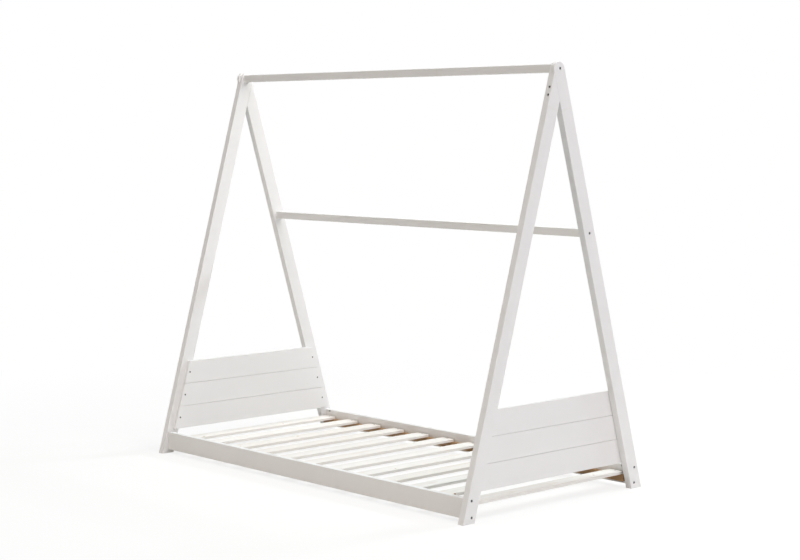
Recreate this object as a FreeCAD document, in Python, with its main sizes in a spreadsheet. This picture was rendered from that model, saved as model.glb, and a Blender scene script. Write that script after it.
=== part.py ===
import FreeCAD, Part
import os
import re
import Sketcher

# House frame bed: two A-shaped frames of half-lapped legs, joined by a ridge rail, a rail along the
# back and two low side rails that carry the slats, with a boarded headboard and footboard.
# Millimetres. Origin on the floor under the middle of the bed; +X to the footboard, +Y to the back,
# +Z up. Positions are written for the quarter with positive X and Y; end and side are 1 or -1.

DRIVING = (
    ("overall_length", 2000, "outer face of one A-frame to outer face of the other"),
    ("inner_width", 922, "clear width between the side rails, for a 900 mattress"),
    ("leg_width", 60, "leg board, across its length"),
    ("leg_thickness", 30, "leg board, along the bed"),
    ("foot_margin", 15, "centre of a foot beyond the side rail's mid plane, on the floor"),
    ("lap_height", 1692, "height at which the two leg centre lines cross"),
    ("apex_rise", 42, "top of the frame above that crossing"),
    ("edge_radius", 2, "rounding of the painted edges"),
    ("bar_section", 32, "square section of the ridge rail and of the mid rail"),
    ("ridge_drop", 26, "centre of the ridge rail below the top of the frame"),
    ("mid_rail_height", 1068, "centre of the mid rail"),
    ("rail_thickness", 22, "side rail, across the bed"),
    ("rail_height", 80, "side rail, upright"),
    ("rail_floor_gap", 16, "underside of the side rail above the floor"),
    ("rail_bolt_inset", 7.5, "side rail bolt from the rail's upper or lower edge"),
    ("ledger_thickness", 20, "slat ledger, across the bed"),
    ("ledger_height", 28, "slat ledger, upright"),
    ("ledger_end_gap", 5, "ledger end to the leg"),
    ("slat_width", 75, "slat, along the bed"),
    ("slat_thickness", 12, "slat, upright"),
    ("slat_start_gap", 4, "first slat to the headboard legs"),
    ("slat_finish_gap", 16, "last slat to the footboard legs"),
    ("slat_end_gap", 6, "slat end to the side rail"),
    ("slat_floor_height", 55, "underside of the slats above the floor"),
    ("slat_edge_radius", 1.5, "rounding of the slats' long edges"),
    ("board_height", 102, "one board of the headboard or footboard"),
    ("board_gap", 1, "shadow gap between two boards"),
    ("board_thickness", 16, "headboard and footboard boards, along the bed"),
    ("board_floor_height", 109, "underside of the lowest board above the floor"),
    ("board_edge_radius", 1, "rounding of the boards' long edges"),
    ("bolt_diameter", 6, "connector bolt shank"),
    ("bolt_head_diameter", 10, "head of the bolts and of the lap screws"),
    ("bolt_head_height", 6, "head of the bolts and of the lap screws"),
    ("bolt_clearance", 0.3, "gap round a bolt, nut or lap screw"),
    ("head_clearance", 0.7, "gap round a sunk bolt head"),
    ("head_sink", 1, "bolt head below the leg's outer face"),
    ("socket_size", 5, "hexagon socket, across the flats"),
    ("socket_depth", 3, "hexagon socket"),
    ("nut_diameter", 10, "barrel nut"),
    ("nut_length", 14, "barrel nut"),
    ("nut_setback", 28, "barrel nut's axis from the rail's end"),
    ("bolt_tail", 6, "bolt beyond the barrel nut's axis"),
    ("lap_screw_diameter", 5, "shank of the screws that lock the lap"),
    ("lap_screw_length", 70, "shank of the screws that lock the lap"),
    ("lap_screw_setback", 12, "lap screw's axis from the frame's outer face"),
    ("lap_screw_seat", 10, "lap screw's seat from the leg's narrow side"),
    ("lap_screw_drop", 71, "upper lap screw below the ridge bolt"),
    ("lap_screw_spacing", 30, "lower lap screw below the upper one"),
    ("screw_diameter", 4, "countersunk wood screw"),
    ("screw_head_diameter", 8, "countersunk wood screw"),
    ("screw_clearance", 0.1, "gap round a countersunk wood screw"),
    ("board_screw_length", 35, "through a board into a leg"),
    ("ledger_screw_length", 35, "through a ledger into a side rail"),
    ("slat_screw_length", 30, "through a slat into a ledger"),
    ("slat_screw_inset", 7, "slat screw from the slat's end"),
)

DERIVED = (
    ("half_length", "overall_length / 2", "frame's outer face from the middle"),
    ("inner_face", "half_length - leg_thickness", "frame's inner face from the middle"),
    ("half_width", "inner_width / 2", "side rail's inner face from the middle plane"),
    ("rail_middle", "half_width + rail_thickness / 2", "side rail's mid plane"),
    ("foot_spread", "rail_middle + foot_margin", "centre of a foot from the middle plane, on the floor"),
    ("leg_slope", "foot_spread / lap_height", "a leg's run for each unit of rise"),
    ("lean_angle", "atan(leg_slope)", "a leg's lean from the upright"),
    ("half_span", "leg_width / 2 / cos(lean_angle)", "half a leg's level width"),
    ("apex_height", "lap_height + apex_rise", "top of the frame"),
    ("tip_radius", "0.45 * leg_width", "rounding of a leg's upper end"),
    ("ridge_height", "apex_height - ridge_drop", "centre of the ridge rail"),
    ("lap_screw_upper", "ridge_height - lap_screw_drop", "height of the upper lap screw"),
    ("lap_screw_lower", "lap_screw_upper - lap_screw_spacing", "height of the lower lap screw"),
    ("rail_bolt_lower", "rail_floor_gap + rail_bolt_inset", "height of the lower bolts"),
    ("rail_bolt_upper", "rail_floor_gap + rail_height - rail_bolt_inset", "height of the upper bolts"),
    ("mid_rail_offset", "foot_spread - leg_slope * mid_rail_height", "mid rail from the middle plane"),
    ("half_bar", "bar_section / 2", "half the ridge rail's section"),
    ("head_recess", "bolt_head_height + head_sink", "depth of a bolt head's recess"),
    ("bolt_length", "leg_thickness - head_recess + nut_setback + bolt_tail", "bolt shank"),
    ("bolt_hole_depth", "nut_setback + bolt_tail + bolt_clearance", "bolt hole in a rail's end"),
    ("bolt_bore", "bolt_diameter + 2 * bolt_clearance", "bolt hole"),
    ("head_bore", "bolt_head_diameter + 2 * head_clearance", "recess of a bolt head"),
    ("nut_bore", "nut_diameter + 2 * bolt_clearance", "barrel nut's hole"),
    ("nut_position", "inner_face - nut_setback", "barrel nut's axis from the middle"),
    ("lap_bore", "lap_screw_diameter + 2 * bolt_clearance", "lap screw's hole"),
    ("lap_position", "half_length - lap_screw_setback", "lap screw's axis from the middle"),
    ("screw_bore", "screw_diameter + 2 * screw_clearance", "wood screw's hole"),
    ("sink_bore", "screw_head_diameter + 4 * screw_clearance", "mouth of a countersunk hole"),
    ("screw_head_height", "(screw_head_diameter - screw_diameter) / 2", "cone of 90 degrees"),
    ("slat_length", "inner_width - 2 * slat_end_gap", "slat, across the bed"),
    ("slat_screw_row", "slat_length / 2 - slat_screw_inset", "slat screws from the middle plane"),
    ("slat_top", "slat_floor_height + slat_thickness", "face the mattress rests on"),
    ("slat_first", "slat_width / 2 + slat_start_gap - inner_face", "middle of the first slat"),
    ("slat_last", "inner_face - slat_finish_gap - slat_width / 2", "middle of the last slat"),
    ("ledger_row", "half_width - ledger_thickness", "ledger's inner face"),
    ("ledger_screw_height", "slat_floor_height - ledger_height / 2", "height of the ledger screws"),
    ("board_face", "inner_face - board_thickness", "boards' face towards the mattress"),
)

SLATS = 12
SLAT_PITCH = f"(slat_last - slat_first) / {SLATS - 1}"
BOARDS = ("lower", "middle", "upper")
ENDS = (("footboard", 1), ("headboard", -1))
SIDES = (("front", -1), ("back", 1))

doc = FreeCAD.newDocument("HouseFrameBed")
sheet = doc.addObject("Spreadsheet::Sheet", "Dimensions")
rows = [(alias, str(value), note) for alias, value, note in DRIVING]
rows += [(alias, "=" + formula, note) for alias, formula, note in DERIVED]
for row, (alias, content, note) in enumerate(rows, 1):
    sheet.set(f"A{row}", alias)
    sheet.set(f"B{row}", content)
    sheet.set(f"C{row}", note)
    sheet.setAlias(f"B{row}", alias)
doc.recompute()

nodes = []


def bound(text):
    """The expression with the sheet's name in front of each alias."""
    return re.sub(r"[a-z]+(?:_[a-z]+)+", r"Dimensions.\g<0>", text)


def bind(thing, **sizes):
    """Ties each named property to its expression. Two underscores stand for a dot."""
    for name, text in sizes.items():
        thing.setExpression(name.replace("__", "."), bound(text))


def leg_centre(height):
    """A leg's centre line from the middle plane, at a height."""
    return f"(foot_spread - leg_slope * ({height}))"


def new_body(label):
    body = doc.addObject("PartDesign::Body", label)
    body.Label = label
    nodes.append(body)
    return body


def sketch_on(body, role, offset):
    """A sketch parallel to one of the body's origin planes, at an offset along the bed's axis."""
    sketch = body.newObject("Sketcher::SketchObject", body.Label + "_sketch")
    plane = [item for item in body.Origin.OriginFeatures if item.Role == role][0]
    sketch.AttachmentSupport = [(plane, "")]
    sketch.MapMode = "FlatFace"
    sign = "-1" if role == "XZ_Plane" else "1"
    bind(sketch, AttachmentOffset__Base__z=f"{sign} * ({offset})")
    return sketch


def place_point(sketch, item, point, across, up):
    """Ties a point of the sketch to two expressions."""
    for kind, text in (("DistanceX", across), ("DistanceY", up)):
        index = sketch.addConstraint(Sketcher.Constraint(kind, -1, 1, item, point, 1.0))
        sketch.setExpression(f"Constraints[{index}]", bound(text))


def draw_polygon(sketch, corners):
    """A closed outline through corners given as pairs of expressions."""
    circle = Part.makeCircle(100).discretize(len(corners) + 1)
    first = len(sketch.Geometry)
    count = len(corners)
    for start, finish in zip(circle[:-1], circle[1:]):
        sketch.addGeometry(Part.LineSegment(start, finish), False)
    for index in range(count):
        after = first + (index + 1) % count
        sketch.addConstraint(Sketcher.Constraint("Coincident", first + index, 2, after, 1))
    for index, (across, up) in enumerate(corners):
        place_point(sketch, first + index, 1, across, up)


def draw_rectangle(sketch, left, right, low, high):
    draw_polygon(sketch, ((left, low), (right, low), (right, high), (left, high)))


def draw_circles(sketch, centres, diameter):
    for across, up in centres:
        item = sketch.addGeometry(Part.Circle(FreeCAD.Vector(1, 1, 0), FreeCAD.Vector(0, 0, 1), 1), False)
        place_point(sketch, item, 3, across, up)
        index = sketch.addConstraint(Sketcher.Constraint("Diameter", item, 2.0))
        sketch.setExpression(f"Constraints[{index}]", bound(diameter))


def pad(body, role, sketch, length, sense):
    """Adds the sketch's area, towards plus or minus along the bed's axis."""
    feature = body.newObject("PartDesign::Pad", body.Label + "_pad")
    feature.Profile = sketch
    feature.Reversed = (sense < 0) != (role == "XZ_Plane")
    bind(feature, Length=length)
    doc.recompute()


def pocket(body, role, sketch, depth, sense):
    """Cuts the sketch's area, towards plus or minus along the bed's axis."""
    before = body.Tip.Shape.Volume
    feature = body.newObject("PartDesign::Pocket", body.Label + "_pocket")
    feature.Profile = sketch
    feature.Reversed = (sense > 0) != (role == "XZ_Plane")
    bind(feature, Length=depth)
    doc.recompute()
    if feature.Shape.Volume >= before:
        raise ValueError(f"{feature.Label} cuts nothing")


def drill(body, role, offset, centres, diameter, depth, sense):
    """Round blind holes of one size, from a plane."""
    sketch = sketch_on(body, role, offset)
    draw_circles(sketch, centres, diameter)
    pocket(body, role, sketch, depth, sense)


def drill_sunk(body, role, offset, centres, sense):
    """Through holes for countersunk screws, their mouths on a plane."""
    sketch = sketch_on(body, role, offset)
    draw_circles(sketch, centres, "screw_bore")
    doc.recompute()
    hole = body.newObject("PartDesign::Hole", body.Label + "_hole")
    hole.Profile = sketch
    hole.DepthType = "ThroughAll"
    hole.HoleCutType = "Countersink"
    hole.HoleCutCustomValues = True
    hole.HoleCutCountersinkAngle = 90
    hole.Reversed = (sense > 0) != (role == "XZ_Plane")
    bind(hole, Diameter="screw_bore", HoleCutDiameter="sink_bore")
    doc.recompute()


def round_edges(body, radius, wanted):
    """Rounds the edges that a test picks out."""
    base = body.Tip
    names = [f"Edge{number}" for number, edge in enumerate(base.Shape.Edges, 1) if wanted(edge)]
    feature = body.newObject("PartDesign::Fillet", body.Label + "_fillet")
    feature.Base = (base, names)
    bind(feature, Radius=radius)
    doc.recompute()


def along(axis):
    """Picks straight edges parallel to a unit axis."""
    def test(edge):
        run = edge.Vertexes[-1].Point - edge.Vertexes[0].Point
        return run.Length > 0.1 and abs(run.dot(axis)) > 0.999 * run.Length
    return test


def beam(label, role, offset, rectangle, length, radius, axis):
    """A straight bar: a rectangle padded along one axis, its long edges rounded."""
    body = new_body(label)
    profile = sketch_on(body, role, offset)
    draw_rectangle(profile, *rectangle)
    pad(body, role, profile, length, 1)
    round_edges(body, radius, along(axis))
    return body


ALONG_X = FreeCAD.Vector(1, 0, 0)
ALONG_Y = FreeCAD.Vector(0, 1, 0)
ALONG_Z = FreeCAD.Vector(0, 0, 1)


# Legs. In each frame the two legs are halved into each other: the back leg keeps the outer half
# of the lap and the front leg the inner half. Each rounded tip stands out past the other leg.

LEG_OUTLINE = (
    ("foot_spread - half_span", "0"),
    ("foot_spread + half_span", "0"),
    ("half_span - leg_slope * apex_rise", "apex_height"),
    ("-half_span - leg_slope * apex_rise", "apex_height"),
)
LAP_LOW = "lap_height - 4 * leg_width"
LAP_HIGH = "apex_height + leg_width"
LAP_OUTLINE = (
    (f"half_span - {leg_centre(LAP_LOW)}", LAP_LOW),
    (f"half_span - {leg_centre(LAP_HIGH)}", LAP_HIGH),
    ("-3 * leg_width", LAP_HIGH),
    ("-3 * leg_width", LAP_LOW),
)


def board_base(index):
    """Underside of a headboard or footboard board."""
    return f"(board_floor_height + {index} * (board_height + board_gap))"


def board_screw(index, side):
    """Where a board is screwed to a leg: halfway between its end and the leg's inner edge."""
    height = f"({board_base(index)} + board_height / 2)"
    return (f"{side} * ({leg_centre(height)} - half_span / 2)", height)


def lap_screw_row(side):
    """The narrow side that the frame's lap screws enter, at each of their heights."""
    return [(f"{side} * ({leg_centre(height)} + half_span - lap_screw_seat)", height)
            for height in ("lap_screw_upper", "lap_screw_lower")]


def is_outline(edge):
    """Edges of the two broad faces, other than those of the foot."""
    box = edge.BoundBox
    return box.XLength < 0.01 and box.ZMax > 1


def is_tip(edge):
    """The two corners of a leg's upper end."""
    return edge.BoundBox.XLength > 1 and edge.BoundBox.ZMin > doc.Dimensions.apex_height - 0.01


def make_leg(end_name, end, side_name, side):
    body = new_body(f"leg_{side_name}_{end_name}")
    outer = f"{end} * half_length"
    inner = f"{end} * inner_face"
    profile = sketch_on(body, "YZ_Plane", inner)
    draw_polygon(profile, [(f"{side} * ({across})", up) for across, up in LEG_OUTLINE])
    pad(body, "YZ_Plane", profile, "leg_thickness", end)
    round_edges(body, "tip_radius", is_tip)
    round_edges(body, "edge_radius", is_outline)

    lap = sketch_on(body, "YZ_Plane", inner if side > 0 else outer)
    draw_polygon(lap, [(f"{side} * ({across})", up) for across, up in LAP_OUTLINE])
    pocket(body, "YZ_Plane", lap, "leg_thickness / 2", end * side)

    bolts = [(f"{side} * rail_middle", "rail_bolt_lower"), (f"{side} * rail_middle", "rail_bolt_upper")]
    if side > 0:
        bolts.append(("mid_rail_offset", "mid_rail_height"))
    apex = [("0", "ridge_height")]
    sunk = bolts + apex if side > 0 else bolts
    drill(body, "YZ_Plane", outer, bolts + apex, "bolt_bore", "leg_thickness", -end)
    drill(body, "YZ_Plane", outer, sunk, "head_bore", "head_recess", -end)
    pilots = [board_screw(index, side) for index in range(len(BOARDS))]
    drill(body, "YZ_Plane", inner, pilots, "screw_bore", "board_screw_length - board_thickness + 1", end)

    for seat, height in lap_screw_row(-end):
        centre = [(f"{end} * lap_position", height)]
        drill(body, "XZ_Plane", seat, centre, "lap_bore", "lap_screw_length + 1", end)
        if side == -end:
            drill(body, "XZ_Plane", seat, centre, "head_bore", "2 * lap_screw_seat", -end)
    return body


for end_name, end in ENDS:
    for side_name, side in SIDES:
        make_leg(end_name, end, side_name, side)


# Ridge rail and mid rail: square bars that butt on the legs' inner faces. A bolt enters each end
# and meets a barrel nut let in from below.

for label, offset, height in (("ridge_rail", "0", "ridge_height"),
                              ("mid_rail", "mid_rail_offset", "mid_rail_height")):
    section = (f"{offset} - half_bar", f"{offset} + half_bar",
               f"{height} - half_bar", f"{height} + half_bar")
    bar = beam(label, "YZ_Plane", "-inner_face", section, "2 * inner_face", "edge_radius", ALONG_X)
    for _, end in ENDS:
        drill(bar, "YZ_Plane", f"{end} * inner_face", [(offset, height)],
              "bolt_bore", "bolt_hole_depth", -end)
    nuts = [(f"{end} * nut_position", offset) for _, end in ENDS]
    drill(bar, "XY_Plane", f"{height} - half_bar", nuts, "nut_bore",
          "half_bar + nut_length / 2 + bolt_clearance", 1)


# Side rails and the ledgers inside them.

LEDGER_SCREWS = [f"slat_first + {2 * pair + 0.5} * {SLAT_PITCH}" for pair in range(SLATS // 2)]
SLAT_CENTRES = [f"slat_first + {index} * {SLAT_PITCH}" for index in range(SLATS)]

for side_name, side in SIDES:
    near, far = ("half_width", "half_width + rail_thickness")
    section = (f"{side} * ({near})", f"{side} * ({far})", "rail_floor_gap", "rail_floor_gap + rail_height")
    rail = beam(f"side_rail_{side_name}", "YZ_Plane", "-inner_face", section, "2 * inner_face",
                "edge_radius", ALONG_X)
    levels = ("rail_bolt_lower", "rail_bolt_upper")
    for _, end in ENDS:
        drill(rail, "YZ_Plane", f"{end} * inner_face",
              [(f"{side} * rail_middle", level) for level in levels], "bolt_bore", "bolt_hole_depth", -end)
    drill(rail, "XZ_Plane", f"{side} * half_width",
          [(f"{end} * nut_position", level) for _, end in ENDS for level in levels],
          "nut_bore", "(rail_thickness + nut_length) / 2 + bolt_clearance", side)
    ledger_points = [(place, "ledger_screw_height") for place in LEDGER_SCREWS]
    drill(rail, "XZ_Plane", f"{side} * half_width", ledger_points,
          "screw_bore", "ledger_screw_length - ledger_thickness + 1", side)

    section = (f"{side} * ledger_row", f"{side} * half_width",
               "slat_floor_height - ledger_height", "slat_floor_height")
    ledger = beam(f"slat_ledger_{side_name}", "YZ_Plane", "ledger_end_gap - inner_face", section,
                  "2 * (inner_face - ledger_end_gap)", "board_edge_radius", ALONG_X)
    drill_sunk(ledger, "XZ_Plane", f"{side} * ledger_row", ledger_points, side)
    slat_points = [(place, f"{side} * slat_screw_row") for place in SLAT_CENTRES]
    drill(ledger, "XY_Plane", "slat_floor_height", slat_points,
          "screw_bore", "slat_screw_length - slat_thickness + 1", -1)


# Slats, made at the middle of the bed and moved along it.

for index, place in enumerate(SLAT_CENTRES, 1):
    body = new_body(f"slat_{index:02d}")
    profile = sketch_on(body, "XY_Plane", "0")
    draw_rectangle(profile, "-slat_width / 2", "slat_width / 2", "-slat_length / 2", "slat_length / 2")
    pad(body, "XY_Plane", profile, "slat_thickness", 1)
    round_edges(body, "slat_edge_radius", along(ALONG_Y))
    screws = [("0", f"{side} * slat_screw_row") for _, side in SIDES]
    drill_sunk(body, "XY_Plane", "slat_thickness", screws, -1)
    bind(body, Placement__Base__x=place, Placement__Base__z="slat_floor_height")


# Headboard and footboard: three boards each, their ends cut along the legs' centre lines.

for end_name, end in ENDS:
    for index, board_name in enumerate(BOARDS):
        low = board_base(index)
        high = f"({low} + board_height)"
        body = new_body(f"{end_name}_{board_name}")
        profile = sketch_on(body, "YZ_Plane", f"{end} * board_face")
        draw_polygon(profile, ((f"-{leg_centre(low)}", low), (leg_centre(low), low),
                               (leg_centre(high), high), (f"-{leg_centre(high)}", high)))
        pad(body, "YZ_Plane", profile, "board_thickness", end)
        round_edges(body, "board_edge_radius", along(ALONG_Y))
        screws = [board_screw(index, side) for _, side in SIDES]
        drill_sunk(body, "YZ_Plane", f"{end} * board_face", screws, end)


# Fasteners. Each is built upright with its seat at zero, then turned and placed.

def primitive(kind, name, **sizes):
    item = doc.addObject("Part::" + kind, name)
    bind(item, **sizes)
    return item


def joined(kind, name, parts, aim, place):
    """A boolean of the parts, turned so that its own Z points along aim."""
    item = doc.addObject("Part::" + kind, name)
    if kind == "Cut":
        item.Base, item.Tool = parts
    else:
        item.Shapes = parts
    item.Placement.Rotation = FreeCAD.Rotation(ALONG_Z, aim)
    if place:
        bind(item, Placement__Base__x=place[0], Placement__Base__y=place[1], Placement__Base__z=place[2])
    return item


def cap_screw(name, aim, place, diameter, length):
    """A bolt or screw with a round head and a hexagon socket."""
    shank = primitive("Cylinder", name + "_shank", Radius=f"{diameter} / 2", Height=length)
    head = primitive("Cylinder", name + "_head", Radius="bolt_head_diameter / 2", Height="bolt_head_height",
                     Placement__Base__z="-bolt_head_height")
    socket = primitive("Prism", name + "_socket", Circumradius="socket_size / 2 / cos(30 deg)",
                       Height="socket_depth", Placement__Base__z="-bolt_head_height")
    blank = joined("MultiFuse", name + "_blank", [shank, head], ALONG_Z, None)
    return joined("Cut", name, (blank, socket), aim, place)


def wood_screw(name, aim, place, length):
    """A countersunk screw, its head flush with the surface that it enters."""
    shank = primitive("Cylinder", name + "_shank", Radius="screw_diameter / 2", Height=length)
    head = primitive("Cone", name + "_head", Radius1="screw_head_diameter / 2",
                     Radius2="screw_diameter / 2", Height="screw_head_height")
    return joined("MultiFuse", name, [shank, head], aim, place)


def barrel_nut(name, aim, place):
    """A round nut, crossed by the bolt's hole at the middle of its length."""
    barrel = primitive("Cylinder", name + "_barrel", Radius="nut_diameter / 2", Height="nut_length",
                       Placement__Base__z="-nut_length / 2")
    bore = primitive("Cylinder", name + "_bore", Radius="bolt_bore / 2", Height="2 * nut_diameter",
                     Placement__Base__x="-nut_diameter")
    bore.Placement.Rotation = FreeCAD.Rotation(ALONG_Z, ALONG_X)
    return joined("Cut", name, (barrel, bore), aim, place)


def group(label, items):
    compound = doc.addObject("Part::Compound", label)
    compound.Label = label
    compound.Links = items
    nodes.append(compound)


def bolts(label, places):
    """Bolts through both frames, at each place given across the bed and up."""
    group(label, [
        cap_screw(f"{label}_{end_name}_{number}", ALONG_X * -end,
                  (f"{end} * (half_length - head_recess)", *place), "bolt_diameter", "bolt_length")
        for end_name, end in ENDS for number, place in enumerate(places, 1)])


RAIL_PLACES = [(f"{side} * rail_middle", level)
               for _, side in SIDES for level in ("rail_bolt_lower", "rail_bolt_upper")]

bolts("side_rail_bolts", RAIL_PLACES)
bolts("apex_bolts", [("0", "ridge_height")])
bolts("mid_rail_bolts", [("mid_rail_offset", "mid_rail_height")])

for label, aim, places in (("side_rail_barrel_nuts", ALONG_Y, RAIL_PLACES),
                           ("ridge_barrel_nuts", ALONG_Z, [("0", "ridge_height")]),
                           ("mid_rail_barrel_nuts", ALONG_Z, [("mid_rail_offset", "mid_rail_height")])):
    group(label, [barrel_nut(f"{label}_{end_name}_{number}", aim, (f"{end} * nut_position", *place))
                  for end_name, end in ENDS for number, place in enumerate(places, 1)])

group("lap_screws", [
    cap_screw(f"lap_screw_{end_name}_{number}", ALONG_Y * end, (f"{end} * lap_position", *place),
              "lap_screw_diameter", "lap_screw_length")
    for end_name, end in ENDS for number, place in enumerate(lap_screw_row(-end), 1)])

for end_name, end in ENDS:
    group(f"{end_name}_screws", [
        wood_screw(f"{end_name}_screw_{side_name}_{index}", ALONG_X * end,
                   (f"{end} * board_face", *board_screw(index, side)), "board_screw_length")
        for side_name, side in SIDES for index in range(len(BOARDS))])

group("ledger_screws", [
    wood_screw(f"ledger_screw_{side_name}_{number}", ALONG_Y * side,
               (place, f"{side} * ledger_row", "ledger_screw_height"), "ledger_screw_length")
    for side_name, side in SIDES for number, place in enumerate(LEDGER_SCREWS, 1)])

group("slat_screws", [
    wood_screw(f"slat_screw_{side_name}_{number}", ALONG_Z * -1,
               (place, f"{side} * slat_screw_row", "slat_top"), "slat_screw_length")
    for side_name, side in SIDES for number, place in enumerate(SLAT_CENTRES, 1)])

doc.recompute()

for item in doc.Objects:
    if "Invalid" in item.State or "Error" in item.State:
        raise ValueError(f"{item.Label} did not build: {item.State}")
for node in nodes:
    if node.Shape.isNull() or not node.Shape.isValid() or not node.Shape.Solids:
        raise ValueError(f"{node.Label} has no valid solid")

os.makedirs("parts", exist_ok=True)
for node in nodes:
    node.Shape.exportStep(f"parts/{node.Label}.step")
    print(node.Label, len(node.Shape.Solids), round(node.Shape.Volume))
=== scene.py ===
import math

import bmesh
import bpy
from bpy.props import FloatProperty, FloatVectorProperty, IntProperty, PointerProperty
from bpy.types import NodeSocket, Operator, Panel, PropertyGroup
from mathutils import Matrix, Vector


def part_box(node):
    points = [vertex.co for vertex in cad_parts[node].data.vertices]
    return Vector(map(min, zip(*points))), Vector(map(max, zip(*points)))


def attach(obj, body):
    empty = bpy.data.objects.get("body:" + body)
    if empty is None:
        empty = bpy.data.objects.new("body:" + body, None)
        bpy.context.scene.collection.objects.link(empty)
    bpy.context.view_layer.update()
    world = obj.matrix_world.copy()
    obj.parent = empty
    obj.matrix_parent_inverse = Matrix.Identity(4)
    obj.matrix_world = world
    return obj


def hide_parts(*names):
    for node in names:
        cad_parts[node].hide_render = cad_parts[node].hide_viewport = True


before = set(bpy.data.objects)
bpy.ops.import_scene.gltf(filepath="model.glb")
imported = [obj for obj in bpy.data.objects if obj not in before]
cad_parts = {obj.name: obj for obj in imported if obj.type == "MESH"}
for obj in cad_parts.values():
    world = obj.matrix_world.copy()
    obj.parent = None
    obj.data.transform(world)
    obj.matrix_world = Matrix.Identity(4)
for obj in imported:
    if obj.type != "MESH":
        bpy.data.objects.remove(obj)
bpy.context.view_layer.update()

bl_info = {
    "name": "House frame bed",
    "version": (1, 0, 0),
    "blender": (4, 5, 0),
    "location": "3D View > Sidebar > House bed",
    "description": "Finishes, fasteners, lamps and camera of a child's house frame bed",
    "category": "Object",
}

MM = 0.001
ALONG_X = Vector((1, 0, 0))
ALONG_Y = Vector((0, 1, 0))
ALONG_Z = Vector((0, 0, 1))

ENDS = ("footboard", "headboard")
FRONT_LEGS = tuple(f"leg_front_{end}" for end in ENDS)
BACK_LEGS = tuple(f"leg_back_{end}" for end in ENDS)
LONG_RAILS = ("ridge_rail", "mid_rail", "side_rail_front", "side_rail_back")
LEDGERS = ("slat_ledger_front", "slat_ledger_back")
SLATS = tuple(sorted(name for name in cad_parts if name[:5] == "slat_" and name[5:].isdigit()))
BOARDS = tuple(f"{end}_{level}" for end in ENDS for level in ("lower", "middle", "upper"))
BARREL_NUTS = ("side_rail_barrel_nuts", "ridge_barrel_nuts", "mid_rail_barrel_nuts")

# Where the boards are cut from the tree. The pith lies past the plane through the bed's origin.
PITH_ASIDE = 90 * MM  # width of the strip, about a board's middle, in which its pith lies
PITH_LEAST = 30 * MM  # least distance of the pith past the plane
PITH_SPREAD = 60 * MM  # how much further than that it can lie
WANDER_ASIDE = 16 * MM  # wander of the pith to the side
WANDER_THROUGH = 12 * MM  # wander of the pith through the board's thickness
WANDER_RATE = 2.2  # swings of that wander in a metre
TRUNK_TAPER = 0.012  # narrowing of the rings along the trunk, in metres per metre
RAIL_CELL = 300 * MM  # rails and ledgers this far apart come from different places in the tree

# How the late wood, the knots and the fibres are drawn.
LATE_RISE = 2.6  # power by which a ring darkens towards its late wood
LATE_END = 0.86  # share of a ring at which its late wood starts to break off
KNOT_FREE = 0.45  # share of the knot fields that have no knot
KNOT_CORE = 0.55  # share of a knot's radius that is evenly dark
KNOT_HALO = 3.2  # reach of the swerve in the rings, in knot radii
KNOT_SWERVE = 7 * MM  # swerve of the rings at a knot's edge
KNOT_LEAST = 1e-4  # keeps the radius of a missing knot above zero, as a share of its field
FIBRES = (11, 1400, 1400)  # fibres in a metre, along, across and through the board

PAINT_IOR = 1.5
WOOD_IOR = 1.5

# Bolts, lap screws and wood screws.
HEAD_HEIGHT = 6 * MM
BOLT_RADIUS = 3 * MM
BOLT_THREAD = 22 * MM
LAP_SCREW_RADIUS = 2.5 * MM
LAP_SCREW_THREAD = 40 * MM
WOOD_SCREW_RADIUS = 2 * MM
SHARP_ANGLE = math.radians(32)  # edges sharper than this stay crisp

# Each lamp's place, the point that it faces, its width and height, and the tint of its light.
BED_MIDDLE = (0.0, 0.0, 0.5)
HEADBOARD_MIDDLE = (-0.95, 0.0, 0.3)
LAMPS = {
    "overhead": ((0.0, 0.0, 7.5), BED_MIDDLE, (5.0, 4.0), "#F9FEFF"),
    "key": ((2.2, 8.2, 6.9), BED_MIDDLE, (2.2, 1.2), "#EBF8FF"),
    "end": ((9.0, 0.0, 5.6), BED_MIDDLE, (6.0, 4.0), "#FFF8FB"),
    "board": ((0.75, 1.2, 3.0), HEADBOARD_MIDDLE, (1.2, 1.0), "#FFF4DC"),
    "fill": ((1.0, -12.0, 2.5), BED_MIDDLE, (1.6, 4.0), "#FFEBD5"),
    "head": ((-9.0, 0.0, 0.9), BED_MIDDLE, (4.0, 1.4), "#FFFFFF"),
}
WHITE = (1, 1, 1, 1)
SENSOR_WIDTH = 36  # in millimetres
CAMERA_REACH = 100  # in metres


def linear(code):
    """An sRGB hex colour, such as #F0E6D6, as linear red, green and blue."""
    shares = [int(code[place:place + 2], 16) / 255 for place in (1, 3, 5)]
    return tuple(s / 12.92 if s <= 0.04045 else ((s + 0.055) / 1.055) ** 2.4 for s in shares)


def middle(node):
    low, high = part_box(node)
    return (low + high) / 2


def colour(name, code, description):
    return FloatVectorProperty(name=name, description=description, subtype="COLOR", size=3,
                               min=0, max=1, default=linear(code))


def length(name, millimetres, description):
    return FloatProperty(name=name, description=description, unit="LENGTH", precision=4,
                         min=0, default=millimetres * MM)


def turned_by(name, degrees, description):
    return FloatProperty(name=name, description=description, unit="ROTATION", default=math.radians(degrees))


def lamp_power(name, watts, description):
    return FloatProperty(name=name, description=description, unit="POWER", min=0, default=watts)


def portion(name, value, description):
    return FloatProperty(name=name, description=description, subtype="FACTOR", min=0, max=1, default=value)


class PaintSettings(PropertyGroup):
    """White paint over planed pine."""

    body: colour("Paint", "#E6E5E5", "Colour of the white paint where it lies full")
    thin: colour("Thin paint", "#E0DEDB", "Colour where the paint has sunk in over the late wood")
    roughness: portion("Roughness", 0.55, "Satin sheen of the paint")
    raised: length("Raised grain", 0.03, "Height of the grain that shows through the paint")
    peel: length("Paint texture", 0.012, "Height of the fine texture that spraying leaves")
    peel_size: length("Texture size", 2.2, "Distance from one bump of the sprayed texture to the next")


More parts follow.
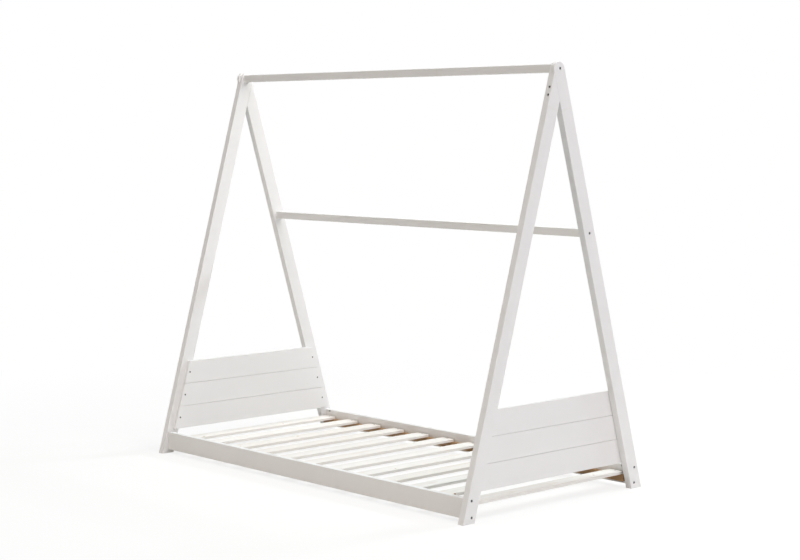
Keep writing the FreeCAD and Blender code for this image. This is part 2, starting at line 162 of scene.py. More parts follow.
class PineSettings(PropertyGroup):
    """Planed, unfinished pine."""

    early: colour("Early wood", "#E9E7E5", "Pale wood between the ring lines of the slats")
    late: colour("Late wood", "#DDD4C8", "Ring lines of the slats")
    knot: colour("Knot", "#B59A80", "Knots of the slats")
    # The three ledger colours are darker than the ledger wood itself: besides the wood's own tone, they hold
    # painted shade for the shade under the slats.
    ledger_early_with_shade: colour("Ledger early wood", "#AA8B68", "Wood between the ring lines of the ledgers")
    ledger_late_with_shade: colour("Ledger late wood", "#886238", "Ring lines of the ledgers")
    ledger_knot_with_shade: colour("Ledger knot", "#5C371A", "Knots of the ledgers")
    ring: length("Ring spacing", 4.2, "Distance from one growth ring to the next")
    knot_field: length("Knot field", 165, "Size of the square in which a board can have one knot")
    knot_radius: length("Knot radius", 8, "Radius of the largest knots")
    lean: turned_by("Lean", 16.06, "Lean of the legs, which their grain follows")


class FastenerSettings(PropertyGroup):
    """Bolts and screws."""

    zinc: colour("Zinc plate", "#76787B", "Colour of the zinc-plated bolts and nuts")
    phosphate: colour("Phosphate", "#6A6A6B", "Colour of the grey phosphated wood screws")
    # Near black for the lap screws: painted shade, standing in for the shade in the deep holes that the lap
    # screws sit in.
    lap_hole_shade: colour("Lap screw shade", "#1F1E1E", "Near black of the lap screws, painted shade of their deep holes")
    socket: length("Socket", 5, "Hexagon socket of the bolts, across its flats")
    socket_depth: length("Socket depth", 3, "Depth of the hexagon socket")
    cross_length: length("Cross length", 4.4, "Cross recess of the wood screws, from end to end")
    cross_width: length("Cross width", 1.1, "Width of one arm of the cross recess")
    cross_depth: length("Cross depth", 1.9, "Depth of the cross recess")
    bolt_pitch: length("Bolt pitch", 1, "Thread pitch of the bolts")
    screw_pitch: length("Screw pitch", 1.8, "Thread pitch of the wood screws")
    sides: IntProperty(name="Sides", description="Faces round a bolt head", default=40, min=12, max=96)


class StageSettings(PropertyGroup):
    """Floor, lamps and camera."""

    floor: colour("Floor", "#F3F1ED", "Colour of the pale floor")
    floor_size: length("Floor size", 14000, "Side of the square floor")
    whiteness: portion("Floor whiteness", 0.8, "Share of plain white that the camera sees under the bed")
    near: length("White floor starts", 1300, "How far from the bed's middle the floor starts to whiten")
    far: length("White floor", 3800, "How far from the bed's middle the floor is plain white")
    ambient: FloatProperty(name="Ambient", description="Strength of the white room", default=0.08, min=0)
    overhead: lamp_power("Overhead", 340, "Power of the softbox over the bed")
    key: lamp_power("Key", 610, "Power of the lamp behind the bed, by the footboard")
    end: lamp_power("End", 395, "Power of the softbox beyond the footboard")
    board: lamp_power("Headboard lamp", 14, "Power of the small softbox that faces the headboard")
    fill: lamp_power("Fill", 255, "Power of the warm softbox in front of the bed")
    head: lamp_power("Head", 170, "Power of the low softbox beyond the headboard")
    lens: FloatProperty(name="Lens", description="Focal length on a 36 mm wide picture, in millimetres",
                        default=78.08, min=1)
    azimuth: turned_by("Azimuth", 47.862, "Camera's turn from the bed's front towards its footboard")
    elevation: turned_by("Elevation", 7.526, "Angle by which the camera looks down")
    roll: turned_by("Roll", -0.239, "Camera's tilt about its own axis")
    place: FloatVectorProperty(name="Place", description="Camera's place", subtype="TRANSLATION", size=3,
                               unit="LENGTH", default=(5.5577, -4.9887, 1.5094))
    shift: FloatVectorProperty(name="Shift", description="Camera's shift, in picture widths", size=2,
                               default=(0.0077, 0.0881))


def add(tree, kind, inputs, output=0, **settings):
    """Adds a node with its settings, fills its inputs with values or sockets and returns one output.

    An input is given by its number where names repeat: 0 to 2 on Math, 0 for the value and 1 to 4 for
    the range it comes from and goes to on Map Range, and 0 for the share, 6 and 7 for the colours on Mix.
    """
    node = tree.nodes.new("ShaderNode" + kind)
    for name, value in settings.items():
        setattr(node, name, value)
    for place, value in inputs.items():
        if isinstance(value, NodeSocket):
            tree.links.new(value, node.inputs[place])
        else:
            node.inputs[place].default_value = value
    return node.outputs[output] if len(node.outputs) else None


def new_material(name):
    """An empty material and its node tree."""
    material = bpy.data.materials.new(name)
    material.use_nodes = True
    material.node_tree.nodes.clear()
    return material, material.node_tree


def opaque(value):
    return (*value, 1.0)


def shade(value, share):
    """A colour darkened to a share of its light."""
    return opaque(tuple(part * share for part in value))


def pine_figure(tree, pine, order, cell, start, lean=0.0):
    """Figure of pine boards, as sockets for late wood, knots, fibres and three chances of each board.

    The rings are cones about a pith that runs along the board, a hand's breadth or more away from it, so
    they are wide arcs that agree on tops, edges and ends. order names the axes along the board, across
    from board to board, and through it. Boards that lie in different cells, counted from start, are cut
    from different places in the tree.
    """
    place = add(tree, "TexCoord", {}, output="Object")
    turned = add(tree, "Mapping", {0: place, "Rotation": (lean, 0, 0)})
    axes = add(tree, "SeparateXYZ", {0: turned}).node.outputs
    along, across, depth = (axes[letter] for letter in order)
    counted = add(tree, "Math", {0: across, 1: start}, operation="SUBTRACT")
    counted = add(tree, "Math", {0: counted, 1: cell}, operation="DIVIDE")
    board = add(tree, "Math", {0: counted}, operation="FLOOR")
    chance = add(tree, "TexWhiteNoise", {"W": board}, output="Color", noise_dimensions="1D")
    chances = add(tree, "SeparateColor", {0: chance}).node.outputs
    within = add(tree, "Math", {0: counted}, operation="FRACT")
    within = add(tree, "Math", {0: within, 1: cell, 2: -cell / 2}, operation="MULTIPLY_ADD")

    # The pith wanders by a few millimetres over a board's length.
    bend = add(tree, "CombineXYZ", {0: along, 1: board, 2: 0.0})
    wander = add(tree, "TexNoise", {"Vector": bend, "Scale": WANDER_RATE, "Detail": 2.0}, output="Color")
    wanders = add(tree, "SeparateColor", {0: wander}).node.outputs
    aside = add(tree, "Math", {0: chances[0], 1: PITH_ASIDE, 2: -PITH_ASIDE / 2}, operation="MULTIPLY_ADD")
    aside = add(tree, "Math", {0: wanders[0], 1: WANDER_ASIDE, 2: aside}, operation="MULTIPLY_ADD")
    below = add(tree, "Math", {0: chances[1], 1: PITH_SPREAD, 2: PITH_LEAST}, operation="MULTIPLY_ADD")
    below = add(tree, "Math", {0: wanders[1], 1: WANDER_THROUGH, 2: below}, operation="MULTIPLY_ADD")

    # One knot at most in each field of the board's face.
    field = pine.knot_field
    spot = add(tree, "CombineXYZ", {0: along, 1: counted, 2: 0.0})
    spot = add(tree, "VectorMath", {0: spot, 1: (1 / field, cell / field, 1)}, operation="MULTIPLY")
    nearest = add(tree, "TexVoronoi", {"Vector": spot, "Scale": 1.0, "Randomness": 1.0},
                  voronoi_dimensions="2D").node.outputs
    dice = add(tree, "SeparateColor", {0: nearest["Color"]}).node.outputs
    radius = add(tree, "MapRange", {0: dice[0], 1: KNOT_FREE, 2: 1.0, 3: 0.0, 4: pine.knot_radius / field})
    core = add(tree, "Math", {0: radius, 1: KNOT_CORE}, operation="MULTIPLY")
    radius = add(tree, "Math", {0: radius, 1: KNOT_LEAST}, operation="ADD")
    knot = add(tree, "MapRange", {0: nearest["Distance"], 1: core, 2: radius, 3: 1.0, 4: 0.0},
               interpolation_type="SMOOTHSTEP")
    halo = add(tree, "Math", {0: radius, 1: KNOT_HALO}, operation="MULTIPLY")
    swerve = add(tree, "MapRange", {0: nearest["Distance"], 1: radius, 2: halo, 3: KNOT_SWERVE, 4: 0.0},
                 interpolation_type="SMOOTHSTEP")

    flat = add(tree, "Math", {0: within, 1: aside}, operation="ADD")
    deep = add(tree, "Math", {0: depth, 1: below}, operation="ADD")
    radial = add(tree, "CombineXYZ", {0: flat, 1: deep, 2: 0.0})
    rings = add(tree, "VectorMath", {0: radial}, output="Value", operation="LENGTH")
    rings = add(tree, "Math", {0: along, 1: TRUNK_TAPER, 2: rings}, operation="MULTIPLY_ADD")
    rings = add(tree, "Math", {0: rings, 1: swerve}, operation="ADD")
    rings = add(tree, "Math", {0: rings, 1: pine.ring}, operation="DIVIDE")
    rings = add(tree, "Math", {0: rings}, operation="FRACT")
    late = add(tree, "Math", {0: rings, 1: LATE_RISE}, operation="POWER")
    ended = add(tree, "MapRange", {0: rings, 1: LATE_END, 2: 1.0, 3: 1.0, 4: 0.0},
                interpolation_type="SMOOTHSTEP")
    late = add(tree, "Math", {0: late, 1: ended}, operation="MULTIPLY")

    # Fibres are far finer than the picture's pixels, so they are drawn 0.7 mm wide and 90 mm long.
    drawn = add(tree, "CombineXYZ", {0: along, 1: across, 2: depth})
    drawn = add(tree, "VectorMath", {0: drawn, 1: FIBRES}, operation="MULTIPLY")
    fibre = add(tree, "TexNoise", {"Vector": drawn, "Scale": 1.0, "Detail": 3.0, "Roughness": 0.6})
    return late, knot, fibre, chances


def painted_pine(name, paint, pine, order, cell, start, lean=0.0):
    """Planed pine, sanded and sprayed with two coats of white satin paint.

    To the eye it is a soft white with no clear figure: the late wood stands up a few hundredths of a
    millimetre under the paint, the paint is a little thinner and warmer there, and the sprayed film has
    a fine texture that softens the sheen.
    """
    over_rings, over_knots, in_clouds = 0.08, 0.3, 0.25
    clouds_in_a_metre = 9.0
    sheen_drift = 0.05
    fibre_share = 0.5

    material, tree = new_material(name)
    late, knot, fibre, _ = pine_figure(tree, pine, order, cell, start, lean)
    place = add(tree, "TexCoord", {}, output="Object")
    peel = add(tree, "TexNoise", {"Vector": place, "Scale": 1 / paint.peel_size, "Detail": 2.0})
    cloud = add(tree, "TexNoise", {"Vector": place, "Scale": clouds_in_a_metre, "Detail": 3.0})

    sunk = add(tree, "Math", {0: late, 1: over_rings}, operation="MULTIPLY")
    sunk = add(tree, "Math", {0: knot, 1: over_knots, 2: sunk}, operation="MULTIPLY_ADD")
    sunk = add(tree, "Math", {0: cloud, 1: in_clouds, 2: sunk}, operation="MULTIPLY_ADD", use_clamp=True)
    coat = add(tree, "Mix", {0: sunk, 6: opaque(paint.body), 7: opaque(paint.thin)},
               output=2, data_type="RGBA")
    sheen = add(tree, "MapRange", {
        0: cloud, 3: paint.roughness - sheen_drift, 4: paint.roughness + sheen_drift})

    lift = add(tree, "Math", {0: late, 1: paint.raised}, operation="MULTIPLY")
    lift = add(tree, "Math", {0: fibre, 1: paint.raised * fibre_share, 2: lift}, operation="MULTIPLY_ADD")
    lift = add(tree, "Math", {0: peel, 1: paint.peel, 2: lift}, operation="MULTIPLY_ADD")
    bump = add(tree, "Bump", {"Height": lift, "Strength": 1.0, "Distance": 1.0})
    surface = add(tree, "BsdfPrincipled", {
        "Base Color": coat, "Roughness": sheen, "IOR": PAINT_IOR, "Normal": bump})
    add(tree, "OutputMaterial", {"Surface": surface})
    return material


def raw_pine(name, pine, colours, order, cell, start):
    """Planed pine with no finish.

    Planing leaves it matt. Early wood is pale, each ring ends in a darker line of late wood, knots are
    brown with the rings swerving round them, and end grain drinks in more light than the faces.
    """
    from_rings, from_fibres, left_pale = 0.75, 0.5, 0.2
    warmest = 0.3
    end_starts, end_full = 0.7, 0.95
    end_share, end_shade = 0.45, 0.82
    late_lift, fibre_lift = 0.04 * MM, 0.03 * MM
    smoothest, roughest = 0.76, 0.92

    early, late_colour, knot_colour = colours
    material, tree = new_material(name)
    late, knot, fibre, chances = pine_figure(tree, pine, order, cell, start)
    ring = add(tree, "Math", {0: late, 1: from_rings}, operation="MULTIPLY")
    ring = add(tree, "Math", {0: fibre, 1: from_fibres, 2: ring}, operation="MULTIPLY_ADD")
    ring = add(tree, "Math", {0: ring, 1: left_pale}, operation="SUBTRACT", use_clamp=True)
    wood = add(tree, "Mix", {0: ring, 6: opaque(early), 7: opaque(late_colour)}, output=2, data_type="RGBA")

    # Some boards are a shade warmer than their neighbours.
    warmth = add(tree, "Math", {0: chances[2], 1: warmest}, operation="MULTIPLY")
    wood = add(tree, "Mix", {0: warmth, 6: wood, 7: opaque(late_colour)}, output=2, data_type="RGBA")
    wood = add(tree, "Mix", {0: knot, 6: wood, 7: opaque(knot_colour)}, output=2, data_type="RGBA")

    # End grain faces along the board.
    normal = add(tree, "NewGeometry", {}, output="Normal")
    facing = add(tree, "SeparateXYZ", {0: normal}).node.outputs[order[0]]
    facing = add(tree, "Math", {0: facing}, operation="ABSOLUTE")
    end = add(tree, "MapRange", {0: facing, 1: end_starts, 2: end_full, 3: 0.0, 4: end_share})
    wood = add(tree, "Mix", {0: end, 6: wood, 7: shade(late_colour, end_shade)}, output=2, data_type="RGBA")

    lift = add(tree, "Math", {0: late, 1: late_lift}, operation="MULTIPLY")
    lift = add(tree, "Math", {0: fibre, 1: fibre_lift, 2: lift}, operation="MULTIPLY_ADD")
    bump = add(tree, "Bump", {"Height": lift, "Strength": 1.0, "Distance": 1.0})
    matt = add(tree, "MapRange", {0: fibre, 3: smoothest, 4: roughest})
    surface = add(tree, "BsdfPrincipled", {
        "Base Color": wood, "Roughness": matt, "IOR": WOOD_IOR, "Normal": bump})
    add(tree, "OutputMaterial", {"Surface": surface})
    return material


def plated_steel(name, plate, roughness, grain):
    """Cold-headed steel with a thin plate over it, or a near-black colour that paints shade for the lap
    screws.

    The plate is even and dull. Its tone drifts a little where the bath lay thinner, and the fine
    crystals, drawn at the given size, break up the reflections.
    """
    drifts_in_a_metre = 220.0
    thin_shade = 0.7
    roughness_drift = 0.08
    crystal_height = 0.01 * MM

    material, tree = new_material(name)
    place = add(tree, "TexCoord", {}, output="Object")
    drift = add(tree, "TexNoise", {"Vector": place, "Scale": drifts_in_a_metre, "Detail": 2.0})
    crystal = add(tree, "TexNoise", {"Vector": place, "Scale": 1 / grain, "Detail": 2.0})
    tone = add(tree, "Mix", {0: drift, 6: opaque(plate), 7: shade(plate, thin_shade)},
               output=2, data_type="RGBA")
    rough = add(tree, "MapRange", {
        0: crystal, 3: roughness - roughness_drift, 4: roughness + roughness_drift})
    bump = add(tree, "Bump", {"Height": crystal, "Strength": 1.0, "Distance": crystal_height})
    surface = add(tree, "BsdfPrincipled", {
        "Base Color": tone, "Metallic": 1.0, "Roughness": rough, "Normal": bump})
    add(tree, "OutputMaterial", {"Surface": surface})
    return material


def finish(names, material):
    """Gives CAD nodes a better material in place of their plain one."""
    for name in names:
        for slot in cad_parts[name].material_slots:
            slot.material = material


def solids(node):
    """The lowest and highest corner of each separate solid of a CAD node."""
    mesh = bmesh.new()
    mesh.from_mesh(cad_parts[node].data)
    bmesh.ops.remove_doubles(mesh, verts=mesh.verts, dist=0.001 * MM)
    mesh.verts.ensure_lookup_table()
    seen = set()
    boxes = []
    for first in mesh.verts:
        if first.index in seen:
            continue
        seen.add(first.index)
        reached = [first]
        for vertex in reached:
            for edge in vertex.link_edges:
                other = edge.other_vert(vertex)
                if other.index not in seen:
                    seen.add(other.index)
                    reached.append(other)
        corners = [[pick(v.co[axis] for v in reached) for axis in range(3)] for pick in (min, max)]
        boxes.append((Vector(corners[0]), Vector(corners[1])))
    mesh.free()
    return boxes


def circle(radius, sides):
    """Points of a circle about the origin, as (x, y) pairs."""
    angles = (math.tau * step / sides for step in range(sides))
    return [(radius * math.cos(angle), radius * math.sin(angle)) for angle in angles]


def wall(mesh, lower, upper):
    """Joins two rings of as many corners with faces."""
    for step in range(len(lower)):
        after = (step + 1) % len(lower)
        mesh.faces.new((lower[step], lower[after], upper[after], upper[step]))


def turn(mesh, profile, sides):
    """Joins rings of a turned profile, given as (radius, height) pairs. Returns the first and last ring."""
    rings = []
    for radius, height in profile:
        rings.append([mesh.verts.new((x, y, height)) for x, y in circle(radius, sides)])
    for lower, upper in zip(rings[:-1], rings[1:]):
        wall(mesh, lower, upper)
    return rings[0], rings[-1]


def sink_recess(mesh, rim, outline, top, depth, taper):
    """Closes a ring with a flat face that has a recess of the given outline in it."""
    mouth = [mesh.verts.new((x, y, top)) for x, y in outline]
    floor = [mesh.verts.new((x * taper, y * taper, top + depth)) for x, y in outline]
    edges = []
    for loop in (rim, mouth):
        for step, vertex in enumerate(loop):
            pair = (vertex, loop[(step + 1) % len(loop)])
            edges.append(mesh.edges.get(pair) or mesh.edges.new(pair))
    bmesh.ops.triangle_fill(mesh, use_beauty=True, use_dissolve=False, edges=edges)
    wall(mesh, mouth, floor)
    mesh.faces.new(floor)


def thread(root, crest, low, high, pitch):
    """Profile rings of a thread between two heights."""
    crest_starts, crest_ends, root_starts = 0.4 * pitch, 0.55 * pitch, 0.95 * pitch
    one_turn = ((root, 0), (crest, crest_starts), (crest, crest_ends), (root, root_starts))
    count = int((high - low) / pitch)
    return [(radius, low + step * pitch + height) for step in range(count) for radius, height in one_turn]


def cap_screw(mesh, head, shank, reach, threaded, fasteners):
    """A bolt with a round head, its seat at zero and its shank along +Z."""
    rim = 0.6 * MM
    underside = 0.3 * MM
    run_in = 0.4 * MM
    run_out = 1.5 * MM
    bevel = 0.8 * MM
    point = 0.6 * MM
    thread_depth = 0.55
    socket_taper = 0.97
    pitch = fasteners.bolt_pitch
    root = shank - thread_depth * pitch
    plain = reach - threaded
    profile = [(head - rim, -HEAD_HEIGHT), (head - 0.2 * rim, -HEAD_HEIGHT + 0.35 * rim),
               (head, -HEAD_HEIGHT + rim), (head, -underside), (head - underside, 0),
               (shank, 0), (shank, plain)]
    profile += thread(root, shank, plain + run_in, reach - run_out, pitch)
    profile += [(root, reach - bevel), (root - point, reach)]
    first, last = turn(mesh, profile, fasteners.sides)
    corner = fasteners.socket / 2 / math.cos(math.pi / 6)
    sink_recess(mesh, first, circle(corner, 6), -HEAD_HEIGHT, fasteners.socket_depth, socket_taper)
    mesh.faces.new(last)


def wood_screw(mesh, head, shank, reach, fasteners):
    """A countersunk screw, its flat face at zero and its point along +Z."""
    edge = 0.15 * MM
    land = 0.4 * MM
    slack = 0.2 * MM
    run_in = 0.5 * MM
    tip = 5 * MM
    plain = 0.3 * reach
    root = 0.68 * shank
    point = 0.12 * shank
    cross_taper = 0.45
    profile = [(head - edge, 0), (head, edge), (head, land), (shank, head - shank + slack), (shank, plain)]
    profile += thread(root, shank, plain + run_in, reach - tip, fasteners.screw_pitch)
    profile += [(root, reach - tip + slack), (point, reach)]
    first, last = turn(mesh, profile, fasteners.sides // 2)
    arm = fasteners.cross_length / 2
    half = fasteners.cross_width / 2
    quarter = [(arm, -half), (arm, half), (half, half)]
    cross = []
    for step in range(4):
        swing = Matrix.Rotation(step * math.pi / 2, 2)
        cross += [tuple(swing @ Vector(point)) for point in quarter]
    sink_recess(mesh, first, cross, 0.0, fasteners.cross_depth, cross_taper)
    mesh.faces.new(last)


def frame_bolt(mesh, head, reach, fasteners):
    """An M6 bolt. Its shank starts under the head."""
    cap_screw(mesh, head, BOLT_RADIUS, reach - HEAD_HEIGHT, BOLT_THREAD, fasteners)
    return HEAD_HEIGHT


def lap_screw(mesh, head, reach, fasteners):
    """A 5 mm screw that locks a lap."""
    cap_screw(mesh, head, LAP_SCREW_RADIUS, reach - HEAD_HEIGHT, LAP_SCREW_THREAD, fasteners)
    return HEAD_HEIGHT


def flat_screw(mesh, head, reach, fasteners):
    """A 4 mm countersunk wood screw."""
    wood_screw(mesh, head, WOOD_SCREW_RADIUS, reach, fasteners)
    return 0.0


def place_fasteners(node, make, aims, fasteners, material):
    """Builds one fastener for each solid of a CAD node, joined in a piece that replaces the node.

    make builds a fastener along +Z and returns how far its zero lies from its outer end. aims gives the
    direction of a shank from the middle of its solid.
    """
    label = node + "_modelled"
    whole = bmesh.new()
    for low, high in solids(node):
        centre = (low + high) / 2
        aim = aims(centre)
        axis = max(range(3), key=lambda k: abs(aim[k]))
        head = min(high[k] - low[k] for k in range(3) if k != axis) / 2
        reach = high[axis] - low[axis]
        one = bmesh.new()
        seat = make(one, head, reach, fasteners)
        bmesh.ops.recalc_face_normals(one, faces=one.faces)
        start = centre - aim * (reach / 2 - seat)
        spin = ALONG_Z.rotation_difference(aim).to_matrix().to_4x4()
        one.transform(Matrix.Translation(start) @ spin)
        part = bpy.data.meshes.new("part")
        one.to_mesh(part)
        whole.from_mesh(part)
        bpy.data.meshes.remove(part)
        one.free()
    mesh = bpy.data.meshes.new(label)
    whole.to_mesh(mesh)
    whole.free()
    mesh.materials.append(material)
    piece = bpy.data.objects.new(label, mesh)
    bpy.context.scene.collection.objects.link(piece)
    mesh.set_sharp_from_angle(angle=SHARP_ANGLE)
    for face in mesh.polygons:
        face.use_smooth = True
    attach(piece, "root")
    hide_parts(node)


def inward_x(centre):
    return ALONG_X * (-1 if centre.x > 0 else 1)


def outward_x(centre):
    return ALONG_X * (1 if centre.x > 0 else -1)


def outward_y(centre):
    return ALONG_Y * (1 if centre.y > 0 else -1)


def by_end_y(centre):
    """The lap screws of the footboard end point to the back, and those of the headboard end forward."""
    return ALONG_Y * (1 if centre.x > 0 else -1)


def downward(centre):
    return -ALONG_Z


class HOUSEBED_OT_legs(Operator):
    """Paint the four legs, their grain along their lean"""

    bl_idname = "housebed.legs"
    bl_label = "Legs"

    def execute(self, context):
        paint, pine = context.scene.bed_paint, context.scene.bed_pine
        apart = middle(FRONT_LEGS[0]).x - middle(FRONT_LEGS[1]).x
        for words, names, lean in (("front", FRONT_LEGS, pine.lean), ("back", BACK_LEGS, -pine.lean)):
            name = f"Painted pine, {words} legs"
            finish(names, painted_pine(name, paint, pine, "ZXY", apart, -apart, lean))
        return {"FINISHED"}


class HOUSEBED_OT_rails(Operator):
    """Paint the ridge rail, the mid rail and the side rails"""

    bl_idname = "housebed.rails"
    bl_label = "Rails"

    def execute(self, context):
        paint, pine = context.scene.bed_paint, context.scene.bed_pine
        start = -RAIL_CELL / 2
        finish(LONG_RAILS, painted_pine("Painted pine, rails", paint, pine, "XYZ", RAIL_CELL, start))
        return {"FINISHED"}


class HOUSEBED_OT_boards(Operator):
    """Paint the headboard and the footboard"""

    bl_idname = "housebed.boards"
    bl_label = "Headboard and footboard"

    def execute(self, context):
        paint, pine = context.scene.bed_paint, context.scene.bed_pine
        pitch = middle(BOARDS[1]).z - middle(BOARDS[0]).z
        start = middle(BOARDS[0]).z - pitch / 2
        finish(BOARDS, painted_pine("Painted pine, boards", paint, pine, "YZX", pitch, start))
        return {"FINISHED"}


class HOUSEBED_OT_slats(Operator):
    """Finish the slats as raw pine"""

    bl_idname = "housebed.slats"
    bl_label = "Slats"

    def execute(self, context):
        pine = context.scene.bed_pine
        pitch = middle(SLATS[1]).x - middle(SLATS[0]).x
        start = middle(SLATS[0]).x - pitch / 2
        colours = (pine.early, pine.late, pine.knot)
        finish(SLATS, raw_pine("Raw pine, slats", pine, colours, "YXZ", pitch, start))
        return {"FINISHED"}


class HOUSEBED_OT_ledgers(Operator):
    """Finish the slat ledgers as raw pine, darker than the slats: partly a darker batch of wood, partly
    painted shade for the shade under the slats
    """

    bl_idname = "housebed.ledgers"
    bl_label = "Slat ledgers"

    def execute(self, context):
        pine = context.scene.bed_pine
        start = -RAIL_CELL / 3
        # Painted shade: these ledger colours are darkened to stand in for the shade under the slats.
        colours = (pine.ledger_early_with_shade, pine.ledger_late_with_shade, pine.ledger_knot_with_shade)
        finish(LEDGERS, raw_pine("Raw pine, ledgers", pine, colours, "XYZ", RAIL_CELL, start))
        return {"FINISHED"}


class HOUSEBED_OT_bolts(Operator):
    """Model the bolts of the rails and the screws of the laps"""

    bl_idname = "housebed.bolts"
    bl_label = "Bolts and lap screws"

    def execute(self, context):
        fasteners = context.scene.bed_fasteners
        zinc = plated_steel("Zinc-plated steel, bolts", fasteners.zinc, roughness=0.42, grain=0.6 * MM)
        # The lap screws get a near-black colour: painted shade, standing in for the shade at the bottom of
        # their deep holes.
        lap_hole_shade = plated_steel("Black-oxide steel, lap screws", fasteners.lap_hole_shade, roughness=0.5, grain=0.6 * MM)
        for node in ("side_rail_bolts", "apex_bolts", "mid_rail_bolts"):
            place_fasteners(node, frame_bolt, inward_x, fasteners, zinc)
        place_fasteners("lap_screws", lap_screw, by_end_y, fasteners, lap_hole_shade)
        return {"FINISHED"}


class HOUSEBED_OT_screws(Operator):
    """Model the countersunk wood screws"""

    bl_idname = "housebed.screws"
    bl_label = "Wood screws"

    def execute(self, context):
        fasteners = context.scene.bed_fasteners
        phosphate = plated_steel("Phosphated steel, wood screws", fasteners.phosphate,
                                 roughness=0.5, grain=0.5 * MM)
        for node, aims in (("headboard_screws", outward_x), ("footboard_screws", outward_x),
                           ("ledger_screws", outward_y), ("slat_screws", downward)):
            place_fasteners(node, flat_screw, aims, fasteners, phosphate)
        return {"FINISHED"}


class HOUSEBED_OT_nuts(Operator):
    """Finish the barrel nuts"""

    bl_idname = "housebed.nuts"
    bl_label = "Barrel nuts"

    def execute(self, context):
        plate = context.scene.bed_fasteners.zinc
        finish(BARREL_NUTS, plated_steel("Zinc-plated steel, nuts", plate, roughness=0.38, grain=0.5 * MM))
        return {"FINISHED"}


def area_lamp(name, place, aim, size, watts, tint):
    """A soft rectangular lamp that looks at a point."""
    data = bpy.data.lights.new(name, "AREA")
    data.shape = "RECTANGLE"
    data.size, data.size_y = size
    data.energy = watts
    data.color = linear(tint)
    lamp = bpy.data.objects.new(name, data)
    lamp.location = place
    lamp.rotation_euler = (Vector(place) - Vector(aim)).to_track_quat("Z", "Y").to_euler()
    bpy.context.scene.collection.objects.link(lamp)


def seen_directly(tree):
    """One where a ray comes from the camera, a reflection or a refraction, and zero elsewhere."""
    rays = add(tree, "LightPath", {}).node.outputs
    seen = add(tree, "Math", {0: rays["Is Camera Ray"], 1: rays["Is Glossy Ray"]}, operation="MAXIMUM")
    return add(tree, "Math", {0: seen, 1: rays["Is Transmission Ray"]}, operation="MAXIMUM")


def pale_floor(stage):
    """A matt pale floor. The camera sees it whiter, and plain white far out, so it runs into the room."""
    mottle_shade = 0.985
    material, tree = new_material("Matt pale floor")
    place = add(tree, "TexCoord", {}, output="Object")
    mottle = add(tree, "TexNoise", {"Vector": place, "Scale": 6.0, "Detail": 4.0})
    tone = add(tree, "Mix", {0: mottle, 6: opaque(stage.floor), 7: shade(stage.floor, mottle_shade)},
               output=2, data_type="RGBA")
    matt = add(tree, "BsdfDiffuse", {"Color": tone})
    white = add(tree, "Emission", {"Color": WHITE, "Strength": 1.0})
    distance = add(tree, "VectorMath", {0: place}, output="Value", operation="LENGTH")
    whiter = add(tree, "MapRange", {0: distance, 1: stage.near, 2: stage.far, 3: stage.whiteness, 4: 1.0},
                 interpolation_type="SMOOTHSTEP")
    whiter = add(tree, "Math", {0: seen_directly(tree), 1: whiter}, operation="MULTIPLY")
    mixed = add(tree, "MixShader", {0: whiter, 1: matt, 2: white})
    add(tree, "OutputMaterial", {"Surface": mixed})
    return material


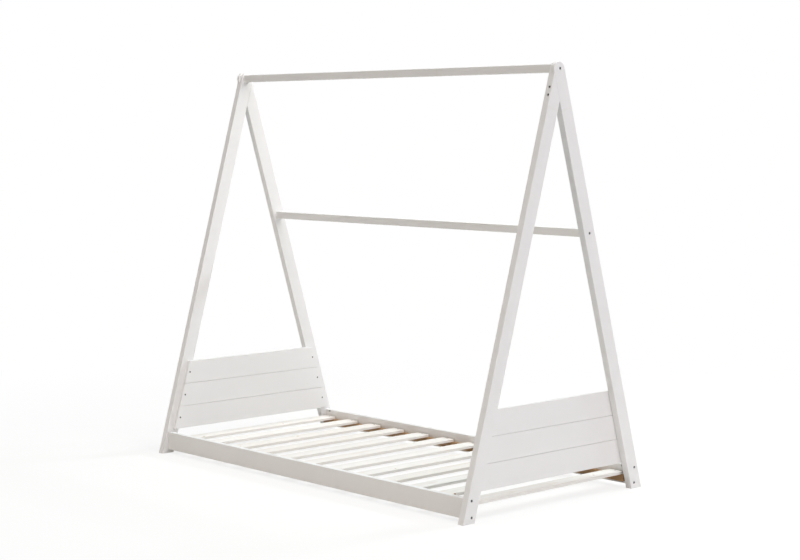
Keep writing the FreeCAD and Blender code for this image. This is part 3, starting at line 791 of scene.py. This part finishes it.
class HOUSEBED_OT_stage(Operator):
    """Lay the floor, hang the lamps and set the camera"""

    bl_idname = "housebed.stage"
    bl_label = "Stage"

    def execute(self, context):
        stage = context.scene.bed_stage
        self.lay_floor(context, stage)
        self.light_room(context, stage)
        self.set_camera(context, stage)
        context.scene.view_settings.view_transform = "Standard"
        return {"FINISHED"}

    def lay_floor(self, context, stage):
        mesh = bpy.data.meshes.new("floor")
        sheet = bmesh.new()
        bmesh.ops.create_grid(sheet, x_segments=4, y_segments=4, size=stage.floor_size / 2)
        sheet.to_mesh(mesh)
        sheet.free()
        mesh.materials.append(pale_floor(stage))
        floor = bpy.data.objects.new("floor", mesh)
        context.scene.collection.objects.link(floor)

    def light_room(self, context, stage):
        world = bpy.data.worlds.new("White room")
        world.use_nodes = True
        tree = world.node_tree
        tree.nodes.clear()
        room = add(tree, "Background", {"Color": WHITE, "Strength": stage.ambient})
        white = add(tree, "Background", {"Color": WHITE, "Strength": 1.0})
        mixed = add(tree, "MixShader", {0: seen_directly(tree), 1: room, 2: white})
        add(tree, "OutputWorld", {"Surface": mixed})
        context.scene.world = world
        for name, (place, aim, size, tint) in LAMPS.items():
            area_lamp(name, place, aim, size, getattr(stage, name), tint)

    def set_camera(self, context, stage):
        level = math.cos(stage.elevation)
        ahead = Vector((-math.sin(stage.azimuth) * level, math.cos(stage.azimuth) * level,
                        -math.sin(stage.elevation)))
        right = ahead.cross(ALONG_Z).normalized()
        upright = right.cross(ahead)
        tilt = Matrix.Rotation(stage.roll, 3, -ahead)
        axes = Matrix((tilt @ right, tilt @ upright, -ahead)).transposed().to_4x4()
        data = bpy.data.cameras.new("camera")
        data.sensor_width = SENSOR_WIDTH
        data.lens = stage.lens
        data.shift_x, data.shift_y = stage.shift
        data.clip_end = CAMERA_REACH
        camera = bpy.data.objects.new("camera", data)
        camera.matrix_world = Matrix.Translation(stage.place) @ axes
        context.scene.collection.objects.link(camera)
        context.scene.camera = camera


PIECES = (HOUSEBED_OT_legs, HOUSEBED_OT_rails, HOUSEBED_OT_boards, HOUSEBED_OT_slats, HOUSEBED_OT_ledgers,
          HOUSEBED_OT_bolts, HOUSEBED_OT_screws, HOUSEBED_OT_nuts, HOUSEBED_OT_stage)
SETTINGS = {"bed_paint": PaintSettings, "bed_pine": PineSettings, "bed_fasteners": FastenerSettings,
            "bed_stage": StageSettings}


class HOUSEBED_PT_sidebar(Panel):
    """Lists the bed's pieces"""

    bl_idname = "HOUSEBED_PT_sidebar"
    bl_label = "House frame bed"
    bl_space_type = "VIEW_3D"
    bl_region_type = "UI"
    bl_category = "House bed"

    def draw(self, context):
        for piece in PIECES:
            self.layout.operator(piece.bl_idname)
        for name, group in SETTINGS.items():
            column = self.layout.box().column()
            for field in group.__annotations__:
                column.prop(getattr(context.scene, name), field)


def register():
    for group in SETTINGS.values():
        bpy.utils.register_class(group)
    for name, group in SETTINGS.items():
        setattr(bpy.types.Scene, name, PointerProperty(type=group))
    for piece in (*PIECES, HOUSEBED_PT_sidebar):
        bpy.utils.register_class(piece)


def unregister():
    for piece in reversed((*PIECES, HOUSEBED_PT_sidebar)):
        bpy.utils.unregister_class(piece)
    for name, group in SETTINGS.items():
        delattr(bpy.types.Scene, name)
        bpy.utils.unregister_class(group)


def main():
    register()
    for piece in PIECES:
        group, name = piece.bl_idname.split(".")
        getattr(getattr(bpy.ops, group), name)()


if __name__ == "__main__":
    main()
